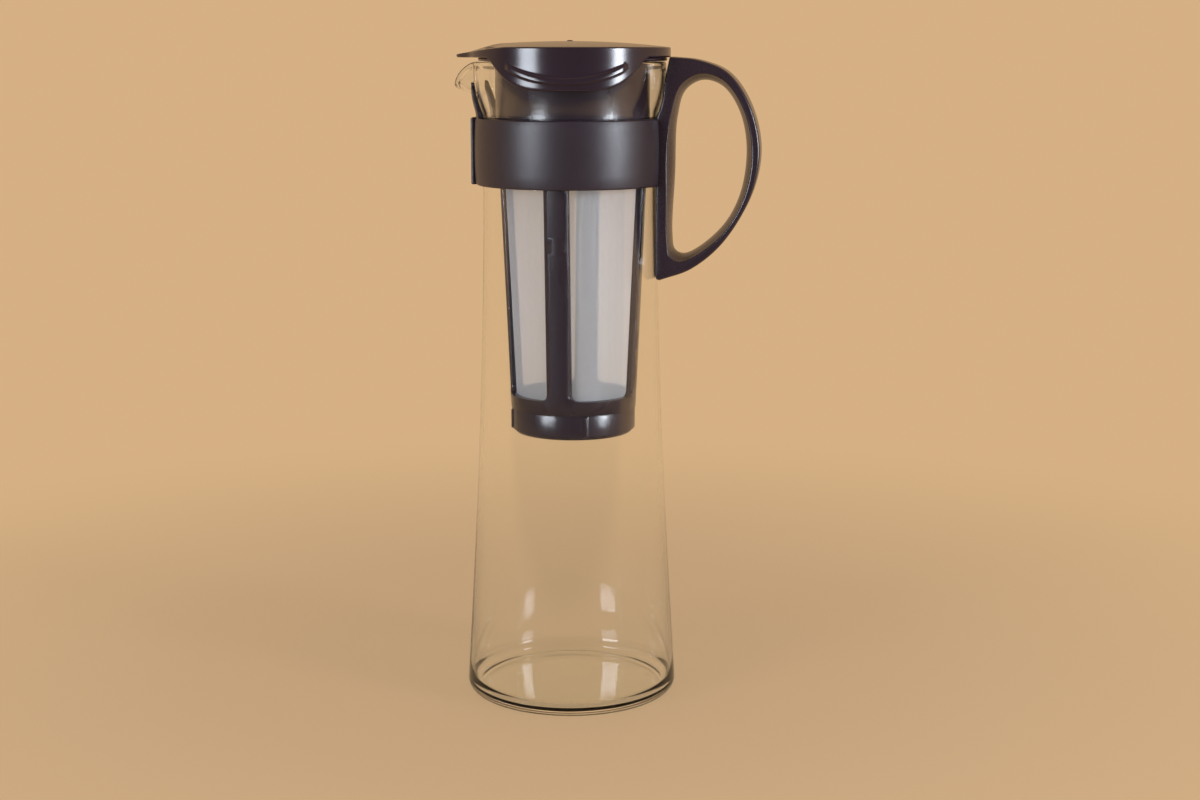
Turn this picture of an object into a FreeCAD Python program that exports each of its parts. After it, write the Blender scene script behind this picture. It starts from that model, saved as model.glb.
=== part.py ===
import FreeCAD, Part
import math
import os

# Cold brew coffee maker: a blown glass jug with a lift-out filter strainer, in millimetres.
# The origin is the centre of the jug's base. The handle points to +X and the spout to -X.

Vector = FreeCAD.Vector
UP = Vector(0, 0, 1)
ORIGIN = Vector(0, 0, 0)
outline_points = 36
outline_spacing = 2.2

# Clearances, and how far a cutter reaches past the solid that it cuts
overshoot = 1.0
band_fit = 0.15
running_clearance = 0.3
glass_clearance = 0.4

# Glass jug
glass_wall = 1.7
floor_thickness = 3.0
floor_corner = 2.6
base_radius = 48.1
heel_radius = 4.8
lower_body_radius = 45.6
lower_body_height = 45.0
middle_body_radius = 42.2
middle_body_height = 109.0
upper_body_radius = 39.5
upper_body_height = 186.0
neck_radius = 38.8
neck_length = 30.9
rim_radius = 42.6
rim_height = 287.2
bowl_height = 23.8
bowl_fullness = 4.0
bowl_easing = 1.3
neck_top = rim_height - bowl_height
neck_bottom = neck_top - neck_length

# Spout, drawn out of the rim; its heights are measured down from the rim
spout_reach = 9.4
spout_half_angle = 21.0
spout_root_drop = 16.7
spout_tip_drop = 10.2
spout_tip_x = -51.6
spout_shoulder_x = -40.5
spout_slope_x = -47.2
spout_slope_drop = 3.2
spout_floor_lift = 1.0

# Neck band
band_drop = 0.6
band_height = 29.4
band_edge_radius = 42.1
band_middle_radius = 42.5
band_edge_bevel = 0.7
band_gap = 3.0

# Prongs of the band beside the spout
prong_angle = 18.0
prong_height = 15.5
prong_lap = 3.0
prong_base_width = 9.0
prong_tip_width = 2.8
prong_base_thickness = 2.4
prong_tip_thickness = 1.1

# Clasp and its dovetail rail
clasp_width = 16.0
clasp_radius = 44.1
clasp_bevel = 0.5
rail_depth = 1.8
rail_top_width = 10.4
rail_root_width = 8.0
rail_floor_x = -40.8

# Handle; the heights of its points are measured up from the glass rim
handle_width = 24.0
handle_inner_x = 39.3
handle_foot_round = 2.0
handle_foot_drop = 95.1
handle_edge_bevel = 1.0
opening_crown = 2.7
handle_top = (45.1, 2.2)
handle_back = [(58.1, 0.7), (70.4, -4.6), (79.9, -18.0), (84.6, -37.7), (81.2, -57.2),
               (68.9, -78.3), (55.0, -90.0)]
handle_throat = [(41.7, -17.2), (42.9, -8.2)]
opening_outline = [(44.6, -78.2), (44.4, -57.2), (44.5, -36.2), (46.3, -21.2), (50.2, -10.0),
                   (58.5, -5.2), (68.2, -7.9), (76.9, -19.8), (81.0, -38.2), (78.0, -58.2),
                   (68.2, -74.8), (51.0, -86.6), (46.0, -84.8)]

# Lid
lid_fit = 0.4
lid_turn = 5.3
lid_gap = 1.8
lid_rim_height = 4.5
lid_dome_rise = 2.6
lid_wall = 1.5
lid_rim_bevel = 0.6
gate_nub_radius = 1.3
gate_nub_height = 0.4
plug_ring_radius = 29.5
plug_ring_depth = 5.5
seat_ring_radius = 37.5
tongue_reach = 50.2
tongue_base_width = 34.0
tongue_tip_radius = 9.0
tongue_tip_drop = 3.0
tongue_root_x = -26.0

# Petals and finger grips; their heights are measured down from the foot of the lid's rim
petal_half_width = 35.0
petal_depth = 13.9
petal_shoulder = (26.5, 9.4)
grip_half_width = 26.0
grip_depth = 11.1
grip_end_depth = 4.7
grip_top_depth = 2.4
grip_shoulder = (15.6, 9.0)
grip_reach = 1.8
grip_nose_height = 0.6

# Strainer frame, hung from the rim by its flange
strainer_offset = 1.2
flange_inset = 0.9
flange_thickness = 1.5
flange_bevel = 0.4
collar_radius = 34.2
collar_wall = 1.8
collar_depth = 25.5
cone_top_radius = 34.1
cone_middle_depth = 56.5
cone_middle_radius = 32.7
cone_bottom_depth = 154.4
cone_bottom_radius = 28.3
frame_wall = 2.8
rib_count = 4
rib_width = 10.7
rib_turn = -5.5
window_sill = 6.3
window_head = 5.0
window_corner = 3.0
ledge_height = 2.6

# Filter mesh
mesh_thickness = 0.4
mesh_fit = 0.05

# Strainer cap and its bayonet
cap_radius = 28.0
cap_height = 10.8
cap_floor = 1.8
cap_edge_bevel = 1.8
cap_grip_count = 4
cap_grip_width = 1.6
cap_grip_reach = 0.6
cap_grip_turn = 18.4
spigot_radius = 25.6
spigot_wall = 1.8
spigot_length = 7.1
lug_count = 3
lug_reach = 1.0
lug_height = 2.0
lug_lift = 1.2
lug_half_angle = 7.0
lug_play_angle = 1.0
unlock_angle = 25.0

# Sizes that follow from the ones above
spout_root_height = rim_height - spout_root_drop
spout_tip_height = rim_height - spout_tip_drop
bowl_cutter_top = rim_height + 3 * overshoot
band_top = neck_top - band_drop
band_bottom = band_top - band_height
band_bore = neck_radius + band_fit
prong_top = band_top + prong_height
lid_rim_bottom = rim_height + lid_gap
lid_rim_top = lid_rim_bottom + lid_rim_height
lid_crown = lid_rim_top + lid_dome_rise
petal_bore = rim_radius + lid_fit
lid_radius = petal_bore + lid_wall
petal_bottom = lid_rim_bottom - petal_depth
grip_top = lid_rim_bottom - grip_top_depth
grip_bottom = lid_rim_bottom - grip_depth
flange_radius = rim_radius - flange_inset
flange_bottom = rim_height + running_clearance
flange_top = flange_bottom + flange_thickness
cone_top = flange_bottom - collar_depth
cone_middle = flange_bottom - cone_middle_depth
cone_bottom = flange_bottom - cone_bottom_depth
window_bottom = cone_bottom + window_sill
window_top = cone_top - window_head
spigot_bottom = cone_bottom - spigot_length
lug_bottom = spigot_bottom + lug_lift
cap_bore = spigot_radius + running_clearance
cap_top = cone_bottom - running_clearance
cap_bottom = cap_top - cap_height


def point(x, z):
    return Vector(x, 0, z)


def from_rim(spot):
    x, rise = spot
    return point(x, rim_height + rise)


def line(start, end):
    return Part.LineSegment(start, end).toShape()


def spline(points, start_tangent=None, end_tangent=None):
    curve = Part.BSplineCurve()
    if start_tangent is None:
        curve.interpolate(points)
    else:
        curve.interpolate(Points=points, InitialTangent=start_tangent, FinalTangent=end_tangent)
    return curve.toShape()


def closed_spline(points):
    """Evenly spaced parameters, so that outlines lofted together share their knots."""
    curve = Part.BSplineCurve()
    steps = [index / len(points) for index in range(len(points) + 1)]
    curve.interpolate(Points=points, PeriodicFlag=True, Parameters=steps)
    return curve.toShape()


def arc(start, middle, end):
    return Part.Arc(start, middle, end).toShape()


def polygon(corners):
    return Part.makePolygon([point(x, z) for x, z in corners + corners[:1]])


def revolved(edges, angle=360.0):
    face = Part.Face(Part.Wire(edges))
    return face.revolve(ORIGIN, UP, angle)


def ring(inner_radius, outer_radius, bottom, top):
    outline = polygon([(inner_radius, bottom), (outer_radius, bottom),
                       (outer_radius, top), (inner_radius, top)])
    return Part.Face(outline).revolve(ORIGIN, UP, 360)


def sector(inner_radius, outer_radius, bottom, top, start_angle, end_angle):
    outline = polygon([(inner_radius, bottom), (outer_radius, bottom),
                       (outer_radius, top), (inner_radius, top)])
    solid = Part.Face(outline).revolve(ORIGIN, UP, end_angle - start_angle)
    return turned(solid, start_angle)


def across(wire, half_depth):
    """Extrude a wire of the XZ plane along Y, to both sides."""
    moved = wire.copy()
    moved.translate(Vector(0, -half_depth, 0))
    return Part.Face(moved).extrude(Vector(0, 2 * half_depth, 0))


def turned(shape, angle):
    copy = shape.copy()
    copy.rotate(ORIGIN, UP, angle)
    return copy


def shifted(shape, x):
    copy = shape.copy()
    copy.translate(Vector(x, 0, 0))
    return copy


# Glass jug: a blown body, a straight neck and a bowl whose rim is drawn into a spout
def body_line(inset):
    points = [(base_radius, heel_radius), (lower_body_radius, lower_body_height),
              (middle_body_radius, middle_body_height), (upper_body_radius, upper_body_height),
              (neck_radius, neck_bottom)]
    return [point(radius - inset, height) for radius, height in points]


def bowl_radius(height):
    rise = min(max((height - neck_top) / (rim_height - neck_top), 0.0), 1.0)
    return neck_radius + (rim_radius - neck_radius) * (1 - (1 - rise ** bowl_easing) ** bowl_fullness)


def glass_radius(angle, height):
    """Outer radius of the bowl; the angle is measured from the spout, in degrees."""
    share = min(abs(angle) / spout_half_angle, 1.0)
    bulge = 0.5 * (1 + math.cos(math.pi * share))
    rise = (height - spout_root_height) / (spout_tip_height - spout_root_height)
    rise = min(max(rise, 0.0), 1.0)
    return bowl_radius(height) + spout_reach * bulge * rise * rise * (3 - 2 * rise)


def bowl_form(extra, lift, bottom, top):
    """Loft the bowl through evenly spaced outlines; the lift keeps the wall whole where it slopes."""
    steps = round((top - bottom) / outline_spacing)
    heights = [bottom + (top - bottom) * index / steps for index in range(steps + 1)]
    outlines = []
    for height in heights:
        points = []
        for index in range(outline_points):
            angle = 360.0 * index / outline_points - 180
            radius = glass_radius(angle, height) + extra
            direction = math.radians(180 + angle)
            points.append(Vector(radius * math.cos(direction), radius * math.sin(direction),
                                 height + lift))
        outlines.append(Part.Wire(closed_spline(points)))
    return Part.makeLoft(outlines, True)


def above_rim():
    """Everything above the rim line, which is level and droops along the spout."""
    shoulder = point(spout_shoulder_x, rim_height)
    tip = point(spout_tip_x, spout_tip_height)
    droop = spline([shoulder, point(spout_slope_x, rim_height - spout_slope_drop), tip],
                   Vector(-1, 0, 0), Vector(-0.2, 0, -1))
    far = 2 * base_radius
    outline = [droop, line(tip, point(spout_tip_x, neck_top)),
               line(point(spout_tip_x, neck_top), point(-far, neck_top)),
               line(point(-far, neck_top), point(-far, far + rim_height)),
               line(point(-far, far + rim_height), point(far, far + rim_height)),
               line(point(far, far + rim_height), point(far, rim_height)),
               line(point(far, rim_height), shoulder)]
    return across(Part.Wire(outline), far)


def glass_jug():
    outer = body_line(0)
    inner = body_line(glass_wall)
    upright = Vector(0, 0, 1)
    leaning = outer[1] - outer[0]
    ground = point(base_radius - heel_radius, 0)
    heel_slant = heel_radius * math.sqrt(0.5)
    heel_middle = point(base_radius - heel_radius + heel_slant, heel_radius - heel_slant)
    floor_edge = point(inner[0].x - floor_corner, floor_thickness)
    inner[0].z = floor_thickness + floor_corner
    neck_outer = point(neck_radius, neck_top)
    neck_inner = point(neck_radius - glass_wall, neck_top)
    body = revolved([line(ORIGIN, ground),
                     arc(ground, heel_middle, outer[0]),
                     spline(outer, leaning, upright),
                     line(outer[-1], neck_outer),
                     line(neck_outer, neck_inner),
                     line(neck_inner, inner[-1]),
                     spline(inner, leaning, upright),
                     line(inner[0], floor_edge),
                     line(floor_edge, point(0, floor_thickness)),
                     line(point(0, floor_thickness), ORIGIN)])
    # The bowl laps one millimetre into the neck, a hair inside both of its faces.
    lap = 1.0
    hair = 0.03
    bowl = bowl_form(-hair, 0, neck_top - lap, bowl_cutter_top)
    hollow = bowl_form(hair - glass_wall, spout_floor_lift, neck_top - lap - 2 * overshoot,
                       bowl_cutter_top + overshoot)
    bowl = bowl.cut(hollow)
    return body.fuse(bowl.cut(above_rim()))


# Neck band: a moulded ring, open under the spout, with two prongs and a dovetail rail
def band_form(extra):
    middle = (band_bottom + band_top) / 2
    low = point(band_edge_radius + extra, band_bottom)
    high = point(band_edge_radius + extra, band_top)
    return revolved([line(point(0, band_bottom), low),
                     arc(low, point(band_middle_radius + extra, middle), high),
                     line(high, point(0, band_top)),
                     line(point(0, band_top), point(0, band_bottom))])


def rail_outline(extra, half_gap):
    """Half of the dovetail, seen from above: narrow at its root and wide at its top."""
    root = rail_root_width / 2 + extra
    top = rail_top_width / 2 + extra
    crest = rail_floor_x - rail_depth - extra
    corners = [(rail_floor_x, half_gap), (rail_floor_x, root), (crest, top), (crest, half_gap)]
    return Part.makePolygon([Vector(x, y, 0) for x, y in corners + corners[:1]])


def rail(extra, half_gap, bottom, height):
    half = Part.Face(rail_outline(extra, half_gap)).extrude(Vector(0, 0, height))
    half.translate(Vector(0, 0, bottom))
    other = half.mirror(ORIGIN, Vector(0, 1, 0))
    return half.fuse(other)


def prong():
    """A tapering tongue that follows the glass; made at the spout and turned into place."""
    foot = band_top - prong_lap
    inner = [point(-band_bore, foot), point(-band_bore, band_top)]
    outer = [point(-band_bore - prong_base_thickness, foot)]
    steps = 5
    for index in range(steps + 1):
        share = index / steps
        height = band_top + (prong_top - band_top) * share
        radius = max(bowl_radius(height) + glass_clearance, band_bore)
        thickness = prong_base_thickness + (prong_tip_thickness - prong_base_thickness) * share
        if index > 0:
            inner.append(point(-radius, height))
        outer.append(point(-radius - thickness, height))
    edges = [spline(inner), line(inner[-1], outer[-1]), spline(outer[::-1]), line(outer[0], inner[0])]
    half_sweep = 15.0
    shell = turned(revolved(edges, 2 * half_sweep), -half_sweep)
    half_base = prong_base_width / 2
    half_tip = prong_tip_width / 2
    corners = [Vector(-base_radius, -half_base, foot), Vector(-base_radius, half_base, foot),
               Vector(-base_radius, half_tip, prong_top - half_tip),
               Vector(-base_radius, -half_tip, prong_top - half_tip)]
    tip = Part.Arc(corners[2], Vector(-base_radius, 0, prong_top), corners[3]).toShape()
    outline = Part.Wire([line(corners[0], corners[1]), line(corners[1], corners[2]), tip,
                         line(corners[3], corners[0])])
    blade = Part.Face(outline).extrude(Vector(base_radius, 0, 0))
    return shell.common(blade)


def neck_band():
    band = band_form(0)
    rims = [edge for edge in band.Edges if abs(edge.BoundBox.ZLength) < 0.01 and edge.Length > 1]
    band = band.makeChamfer(band_edge_bevel, rims)
    band = band.cut(ring(0, band_bore, band_bottom - overshoot, band_top + overshoot))
    recess_half = clasp_width / 2 + running_clearance
    cut_height = band_height + 2 * overshoot
    recess = Part.makeBox(base_radius, 2 * recess_half, cut_height,
                          Vector(rail_floor_x - base_radius, -recess_half, band_bottom - overshoot))
    gap = Part.makeBox(base_radius, band_gap, cut_height,
                       Vector(-base_radius, -band_gap / 2, band_bottom - overshoot))
    band = band.cut(recess).fuse(rail(0, band_gap / 2, band_bottom, band_height)).cut(gap)
    bowl = bowl_form(glass_clearance, 0, neck_top - overshoot, bowl_cutter_top)
    for side in (-1, 1):
        band = band.fuse(turned(prong(), side * prong_angle).cut(bowl))
    return band.removeSplitter()


def band_clasp():
    corner = Vector(rail_floor_x - running_clearance - base_radius, -clasp_width / 2, band_bottom)
    outline = Part.makeBox(base_radius, clasp_width, band_height, corner)
    plate = outline.common(ring(0, clasp_radius, band_bottom, band_top))
    rims = [edge for edge in plate.Edges
            if edge.BoundBox.XMin < rail_floor_x - rail_depth and edge.BoundBox.ZLength < 0.01]
    plate = plate.makeChamfer(clasp_bevel, rims)
    return plate.cut(rail(running_clearance, 0, band_bottom - overshoot, band_height + 2 * overshoot))


# Handle: a flat-sided D whose root wraps the band
def drawn_in(outline, distance):
    """Move each point of a closed outline inward, square to the line through its neighbours."""
    moved = []
    for index, (x, z) in enumerate(outline):
        before = outline[index - 1]
        after = outline[(index + 1) % len(outline)]
        run_x = after[0] - before[0]
        run_z = after[1] - before[1]
        length = math.hypot(run_x, run_z)
        moved.append((x + distance * run_z / length, z - distance * run_x / length))
    return moved


def handle():
    half = handle_width / 2
    foot_height = rim_height - handle_foot_drop
    foot = point(handle_inner_x + handle_foot_round, foot_height)
    foot_left = point(handle_inner_x, foot_height + handle_foot_round)
    foot_slant = handle_foot_round * (1 - math.sqrt(0.5))
    foot_middle = point(handle_inner_x + foot_slant, foot_height + foot_slant)
    back = [from_rim(spot) for spot in [handle_top] + handle_back] + [foot]
    throat = [point(handle_inner_x, neck_top)] + [from_rim(spot) for spot in handle_throat + [handle_top]]
    outline = Part.Wire([spline(back), arc(foot, foot_middle, foot_left),
                         line(foot_left, throat[0]), spline(throat)])
    slab = across(outline, half)
    side_edges = [edge for edge in slab.Edges
                  if abs(abs(edge.CenterOfMass.y) - half) < 0.01 and edge.BoundBox.XMax > base_radius]
    slab = slab.makeChamfer(handle_edge_bevel, side_edges)
    openings = []
    for share in (-1, -0.55, 0, 0.55, 1):
        crown = opening_crown * (1 - share ** 2)
        points = [from_rim(spot) + Vector(0, half * share, 0) for spot in drawn_in(opening_outline, crown)]
        openings.append(Part.Wire(closed_spline(points)))
    slab = slab.cut(Part.makeLoft(openings, True, True))
    body = revolved([line(point(0, 0), point(base_radius + glass_clearance, 0)),
                     line(point(base_radius + glass_clearance, 0),
                          point(base_radius + glass_clearance, heel_radius)),
                     spline([spot + Vector(glass_clearance, 0, 0) for spot in body_line(0)]),
                     line(point(neck_radius + glass_clearance, neck_bottom), point(0, neck_bottom)),
                     line(point(0, neck_bottom), point(0, 0))])
    bowl = bowl_form(glass_clearance, 0, neck_top - overshoot, bowl_cutter_top)
    neck = ring(0, neck_radius + glass_clearance, neck_bottom - overshoot, neck_top)
    return slab.cut(body).cut(neck).cut(bowl).cut(band_form(0)).removeSplitter()


# Lid: a shallow dome with a tongue over the spout and two petals outside the glass
def dome(radius, edge_height, crown_height):
    """A shallow dome in three steps, from the crown to the edge."""
    rise = crown_height - edge_height
    spots = [point(radius * share, crown_height - rise * share ** 2) for share in (0, 0.45, 0.75, 1)]
    return [line(spots[index], spots[index + 1]) for index in range(3)]


def lid_top():
    rim = point(lid_radius, lid_rim_top)
    rim_foot = point(lid_radius, lid_rim_bottom)
    bore_foot = point(petal_bore, lid_rim_bottom)
    bore_top = point(petal_bore, lid_rim_top - lid_wall)
    crown = point(0, lid_crown)
    under_crown = point(0, lid_crown - lid_wall)
    shell = revolved(dome(lid_radius, lid_rim_top, lid_crown)
                     + [line(rim, rim_foot), line(rim_foot, bore_foot), line(bore_foot, bore_top)]
                     + dome(petal_bore, bore_top.z, under_crown.z)[::-1] + [line(under_crown, crown)])
    rims = [edge for edge in shell.Edges
            if abs(edge.BoundBox.ZMax - lid_rim_top) < 0.01 and edge.BoundBox.ZLength < 0.01
            and edge.Length > lid_radius]
    return shell.makeChamfer(lid_rim_bevel, rims)


def petals():
    width, depth = petal_shoulder
    height = lid_rim_bottom - depth
    low = spline([point(-petal_half_width, lid_rim_bottom), point(-width, height), point(0, petal_bottom),
                  point(width, height), point(petal_half_width, lid_rim_bottom)])
    left = point(-petal_half_width, lid_rim_top - lid_wall)
    right = point(petal_half_width, lid_rim_top - lid_wall)
    outline = Part.Wire([low, line(point(petal_half_width, lid_rim_bottom), right), line(right, left),
                         line(left, point(-petal_half_width, lid_rim_bottom))])
    wall = ring(petal_bore, lid_radius, petal_bottom - overshoot, lid_rim_top - lid_wall)
    return wall.common(across(outline, lid_radius + overshoot))


def finger_grips():
    """Raised crescents: flush with the petal at the top and proud at the lower edge."""
    root = lid_radius - lid_wall / 2
    nose = lid_radius + grip_reach
    low = grip_bottom - overshoot
    wedge = polygon([(root, grip_top), (lid_radius, grip_top), (nose, grip_bottom + grip_nose_height),
                     (nose, low), (root, low)])
    wedge = Part.Face(wedge).revolve(ORIGIN, UP, 360)
    width, depth = grip_shoulder
    height = lid_rim_bottom - depth
    end_height = lid_rim_bottom - grip_end_depth
    left = point(-grip_half_width, end_height)
    right = point(grip_half_width, end_height)
    smile = spline([left, point(-width, height), point(0, grip_bottom), point(width, height), right])
    right_top = point(grip_half_width, grip_top + overshoot)
    left_top = point(-grip_half_width, grip_top + overshoot)
    outline = Part.Wire([smile, line(right, right_top), line(right_top, left_top), line(left_top, left)])
    return wedge.common(across(outline, nose + overshoot))


def tongue():
    half_base = tongue_base_width / 2
    root_x = -math.sqrt(lid_radius ** 2 - half_base ** 2)
    side_x = tongue_tip_radius / 2 - tongue_reach
    side_y = tongue_tip_radius * math.sqrt(0.75)
    near, far = Vector(side_x, -side_y, 0), Vector(side_x, side_y, 0)
    root_near, root_far = Vector(root_x, -half_base, 0), Vector(root_x, half_base, 0)
    plan = Part.Wire([line(root_near, near), arc(near, Vector(-tongue_reach, 0, 0), far),
                      line(far, root_far), line(root_far, ORIGIN), line(ORIGIN, root_near)])
    plan.translate(Vector(0, 0, lid_rim_bottom))
    lip = Part.Face(plan).extrude(Vector(0, 0, lid_rim_top - lid_rim_bottom))
    bore = ring(0, petal_bore + lid_wall / 2, lid_rim_bottom - overshoot, lid_rim_top + overshoot)
    return lip.cut(bore).cut(above_tongue())


def above_tongue():
    """The slope that falls from the dome to the tongue's tip."""
    far = -2 * lid_radius
    slope = tongue_tip_drop / (tongue_reach + tongue_root_x)
    far_height = lid_rim_top - slope * (tongue_root_x - far)
    high = lid_rim_top + lid_radius
    outline = polygon([(tongue_root_x, lid_rim_top), (far, far_height), (far, high), (tongue_root_x, high)])
    return across(outline, lid_radius)


def lid():
    top = lid_top()
    under = lid_crown - lid_wall / 2
    nub = Part.makeCylinder(gate_nub_radius, gate_nub_height + lid_wall / 2, point(0, under))
    rings = ring(plug_ring_radius - lid_wall, plug_ring_radius, lid_rim_bottom - plug_ring_depth, under)
    rings = rings.fuse(ring(seat_ring_radius - lid_wall, seat_ring_radius,
                            flange_top + running_clearance, under))
    edge = point(lid_radius, lid_rim_top - lid_wall / 2)
    cover = revolved(dome(lid_radius, edge.z, under)
                     + [line(edge, point(lid_radius, petal_bottom)),
                        line(point(lid_radius, petal_bottom), point(0, petal_bottom)),
                        line(point(0, petal_bottom), point(0, under))])
    shape = top.fuse([petals(), finger_grips(), rings.common(cover), tongue(), nub])
    return turned(shape.removeSplitter(), lid_turn)


# Strainer frame: flange, collar, four ribs and a spigot for the cap
def cone_radius(height):
    if height > cone_middle:
        share = (height - cone_middle) / (cone_top - cone_middle)
        return cone_middle_radius + (cone_top_radius - cone_middle_radius) * share
    share = (height - cone_bottom) / (cone_middle - cone_bottom)
    return cone_bottom_radius + (cone_middle_radius - cone_bottom_radius) * share


def windows():
    cutter = ring(0, 2 * collar_radius, window_bottom, window_top)
    slab = Part.makeBox(4 * collar_radius, rib_width, cone_top - cone_bottom,
                        Vector(-2 * collar_radius, -rib_width / 2, cone_bottom))
    for index in range(rib_count // 2):
        cutter = cutter.cut(turned(slab, index * 360.0 / rib_count))
    pieces = []
    for piece in cutter.Solids:
        corners = [edge for edge in piece.Edges
                   if edge.Curve.TypeId == "Part::GeomLine" and edge.BoundBox.ZLength < 0.01]
        pieces.append(piece.makeFillet(window_corner, corners))
    return Part.makeCompound(pieces)


def lugs(extra, extra_angle, turn):
    """Bayonet lugs, or with the extras the channels in which they turn."""
    pieces = []
    for index in range(lug_count):
        middle = index * 360.0 / lug_count
        pieces.append(sector(spigot_radius - spigot_wall / 2, spigot_radius + lug_reach + extra,
                             lug_bottom - extra, lug_bottom + lug_height + extra,
                             middle - lug_half_angle - extra_angle - turn,
                             middle + lug_half_angle + extra_angle))
    return pieces


def strainer_frame():
    collar_bore = collar_radius - collar_wall
    spigot_bore = spigot_radius - spigot_wall
    ledge_top = cone_bottom + ledge_height
    profile = [(collar_bore, flange_top), (flange_radius, flange_top), (flange_radius, flange_bottom),
               (collar_radius, flange_bottom), (collar_radius, cone_top), (cone_top_radius, cone_top),
               (cone_middle_radius, cone_middle), (cone_bottom_radius, cone_bottom),
               (spigot_radius, cone_bottom), (spigot_radius, spigot_bottom),
               (spigot_bore, spigot_bottom), (spigot_bore, ledge_top),
               (cone_radius(ledge_top) - frame_wall, ledge_top),
               (cone_middle_radius - frame_wall, cone_middle),
               (cone_top_radius - frame_wall, cone_top), (collar_bore, cone_top + collar_wall)]
    frame = Part.Face(polygon(profile)).revolve(ORIGIN, UP, 360)
    rims = [edge for edge in frame.Edges
            if edge.BoundBox.ZLength < 0.01 and abs(edge.BoundBox.XMax - flange_radius) < 0.01]
    frame = frame.makeChamfer(flange_bevel, rims)
    frame = frame.cut(turned(windows(), rib_turn))
    frame = frame.fuse(lugs(0, 0, 0))
    return shifted(frame.removeSplitter(), strainer_offset)


def filter_mesh():
    bottom = cone_bottom + ledge_height + mesh_fit
    top = cone_top - mesh_fit
    profile = []
    for inset, heights in ((0, (bottom, cone_middle, top)), (mesh_thickness, (top, cone_middle, bottom))):
        for height in heights:
            profile.append((cone_radius(height) - frame_wall - mesh_fit - inset, height))
    sleeve = Part.Face(polygon(profile)).revolve(ORIGIN, UP, 360)
    return shifted(sleeve, strainer_offset)


def strainer_cap():
    cup = ring(0, cap_radius, cap_bottom, cap_top)
    base = [edge for edge in cup.Edges
            if edge.BoundBox.ZMax < cap_bottom + 0.01 and edge.Length > cap_radius]
    cup = cup.makeChamfer(cap_edge_bevel, base)
    grip_bottom_height = cap_bottom + cap_edge_bevel
    grip_height = cap_top - cap_grip_reach - grip_bottom_height
    grip = Part.makeBox(cap_radius + cap_grip_reach, cap_grip_width, grip_height,
                        Vector(0, -cap_grip_width / 2, grip_bottom_height))
    for index in range(cap_grip_count):
        cup = cup.fuse(turned(grip, index * 360.0 / cap_grip_count + cap_grip_turn - 90))
    cup = cup.cut(ring(0, cap_bore, cap_bottom + cap_floor, cap_top + overshoot))
    cup = cup.cut(lugs(running_clearance, lug_play_angle, unlock_angle))
    for index in range(lug_count):
        middle = index * 360.0 / lug_count - unlock_angle
        slot_half = lug_half_angle + lug_play_angle
        cup = cup.cut(sector(cap_bore - overshoot, spigot_radius + lug_reach + running_clearance,
                             lug_bottom, cap_top + overshoot, middle - slot_half, middle + slot_half))
    return shifted(cup.removeSplitter(), strainer_offset)


nodes = {
    "glass_jug": glass_jug,
    "handle": handle,
    "neck_band": neck_band,
    "band_clasp": band_clasp,
    "lid": lid,
    "strainer_frame": strainer_frame,
    "filter_mesh": filter_mesh,
    "strainer_cap": strainer_cap,
}

os.makedirs("parts", exist_ok=True)
for name, make in nodes.items():
    shape = make()
    solids = shape.Solids
    print(name, "valid", shape.isValid(), "solids", len(solids), "volume", round(shape.Volume))
    if len(solids) == 1:
        shape = solids[0]
    shape.exportStep("parts/" + name + ".step")
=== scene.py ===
import bmesh
import bpy
import math
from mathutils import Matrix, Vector


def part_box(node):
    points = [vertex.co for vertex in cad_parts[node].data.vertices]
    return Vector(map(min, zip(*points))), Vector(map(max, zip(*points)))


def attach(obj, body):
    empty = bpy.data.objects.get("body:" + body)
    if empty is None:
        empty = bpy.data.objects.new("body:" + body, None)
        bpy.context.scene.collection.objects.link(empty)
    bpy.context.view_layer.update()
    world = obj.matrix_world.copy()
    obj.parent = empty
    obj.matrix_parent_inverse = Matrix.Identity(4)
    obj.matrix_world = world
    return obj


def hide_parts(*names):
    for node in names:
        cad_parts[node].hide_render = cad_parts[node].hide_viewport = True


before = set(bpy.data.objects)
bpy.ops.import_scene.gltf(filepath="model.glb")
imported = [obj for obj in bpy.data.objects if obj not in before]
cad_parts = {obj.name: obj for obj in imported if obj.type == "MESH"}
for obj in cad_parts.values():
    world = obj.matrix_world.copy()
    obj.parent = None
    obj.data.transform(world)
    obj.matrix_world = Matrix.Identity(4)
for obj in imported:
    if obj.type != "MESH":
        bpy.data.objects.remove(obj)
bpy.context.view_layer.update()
mm = 0.001


# Glass jug. A blown borosilicate jug: a tapering body on a rounded heel, a straight neck for
# the band, and a bowl whose fire-polished rim is drawn out into a pouring spout.
rim_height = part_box("glass_jug")[1][2]
glass_wall = 1.7 * mm
floor_thickness = 3.0 * mm
punt_height = 0.9 * mm
heel_radius = 4.8 * mm
inner_corner_radius = 6.5 * mm
neck_radius = 38.8 * mm
neck_top = rim_height - 23.8 * mm
neck_bottom = neck_top - 30.9 * mm
rim_radius = 42.6 * mm
bowl_fullness = 4.0
bowl_easing = 1.3
spout_reach = 9.4 * mm
spout_half_angle = math.radians(21)
spout_root_height = rim_height - 16.7 * mm
spout_tip_height = rim_height - 10.2 * mm
spout_shoulder_x = 40.5 * mm
spout_tip_x = 51.6 * mm
spout_droop_power = 1.6
spout_floor_lift = 1.0 * mm
rim_bead = 1.05 * mm
rim_bead_height = 3.0 * mm
rim_search_steps = 40
foot_rows = 10
body_rows = 44
neck_rows = 4
bowl_rows = 26
corner_rows = 8
jug_columns = 288
merge_distance = 0.001 * mm
girths = [(heel_radius, 48.1 * mm), (45.0 * mm, 45.6 * mm), (109.0 * mm, 42.2 * mm),
          (186.0 * mm, 39.5 * mm), (neck_bottom, neck_radius)]


def spread(start, end, steps, skip_first=False):
    """Evenly spaced values from start to end."""
    first = 1 if skip_first else 0
    return [start + (end - start) * index / steps for index in range(first, steps + 1)]


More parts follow.
